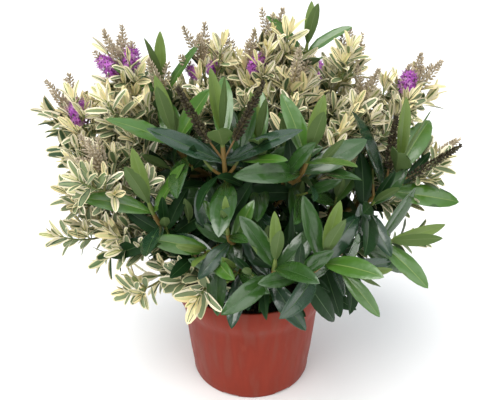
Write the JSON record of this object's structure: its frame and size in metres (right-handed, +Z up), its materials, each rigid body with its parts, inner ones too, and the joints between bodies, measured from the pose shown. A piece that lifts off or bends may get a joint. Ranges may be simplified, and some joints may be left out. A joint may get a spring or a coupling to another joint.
{
  "type": "potted hebe shrub",
  "caption": "Bushy flowering evergreen shrub with cream-edged and plain green shoots, faded flower spikes and purple blossom, growing in a round flared nursery pot.",
  "frame": {"origin": "centre of the pot's flat underside, on the ground", "axes": "+Z up along the pot's axis, -Y towards the front of the plant, +X to its right as seen from the front"},
  "size_m": [0.4994, 0.4191, 0.4664],
  "materials": {
    "pot": "semi-gloss",
    "potting_mix": "matte",
    "bark": "matte",
    "variegated_foliage": "satin",
    "green_foliage": "semi-gloss"
  },
  "bodies": {
    "root": {"pot": "pot", "potting_mix": "potting_mix", "foot_stem": "bark", "bough_upper_left": "bark", "bough_left": "bark", "bough_lower_left": "bark", "bough_front_left": "bark", "bough_centre_left": "bark", "bough_centre_front": "bark", "bough_centre": "bark", "bough_centre_right": "bark", "bough_top_right": "bark", "bough_upper_right": "bark", "bough_right": "bark", "bough_front": "bark", "bough_lower_right": "bark", "bough_back_left": "bark", "bough_back_right": "bark", "variegated_upper_left_top": "variegated_foliage", "variegated_upper_left": "variegated_foliage", "variegated_left_top": "variegated_foliage", "variegated_left_front": "variegated_foliage", "variegated_left_middle": "variegated_foliage", "variegated_left_low": "variegated_foliage", "variegated_left_inner": "variegated_foliage", "green_front_left": "green_foliage", "variegated_rim_left": "variegated_foliage", "variegated_rim_front": "variegated_foliage", "green_centre_left": "green_foliage", "variegated_centre_left": "variegated_foliage", "green_top_left": "green_foliage", "green_centre": "green_foliage", "green_centre_young": "green_foliage", "green_centre_low": "green_foliage", "variegated_top": "variegated_foliage", "variegated_top_middle": "variegated_foliage", "variegated_back_top": "variegated_foliage", "green_centre_back": "green_foliage", "green_centre_right": "green_foliage", "variegated_centre_right": "variegated_foliage", "variegated_top_right": "variegated_foliage", "green_top_right": "green_foliage", "variegated_right_top": "variegated_foliage", "variegated_upper_right": "variegated_foliage", "variegated_right_middle": "variegated_foliage", "variegated_right_inner": "variegated_foliage", "green_right": "green_foliage", "variegated_right": "variegated_foliage", "green_front": "green_foliage", "green_front_right": "green_foliage", "green_rim_front": "green_foliage", "green_right_middle": "green_foliage", "variegated_right_low": "variegated_foliage", "green_right_low": "green_foliage", "variegated_back_left_top": "variegated_foliage", "variegated_back_left": "variegated_foliage", "green_back_left": "green_foliage", "variegated_back_right_top": "variegated_foliage", "variegated_back_right": "variegated_foliage", "green_back_right": "green_foliage"}
  },
  "joints": []
}
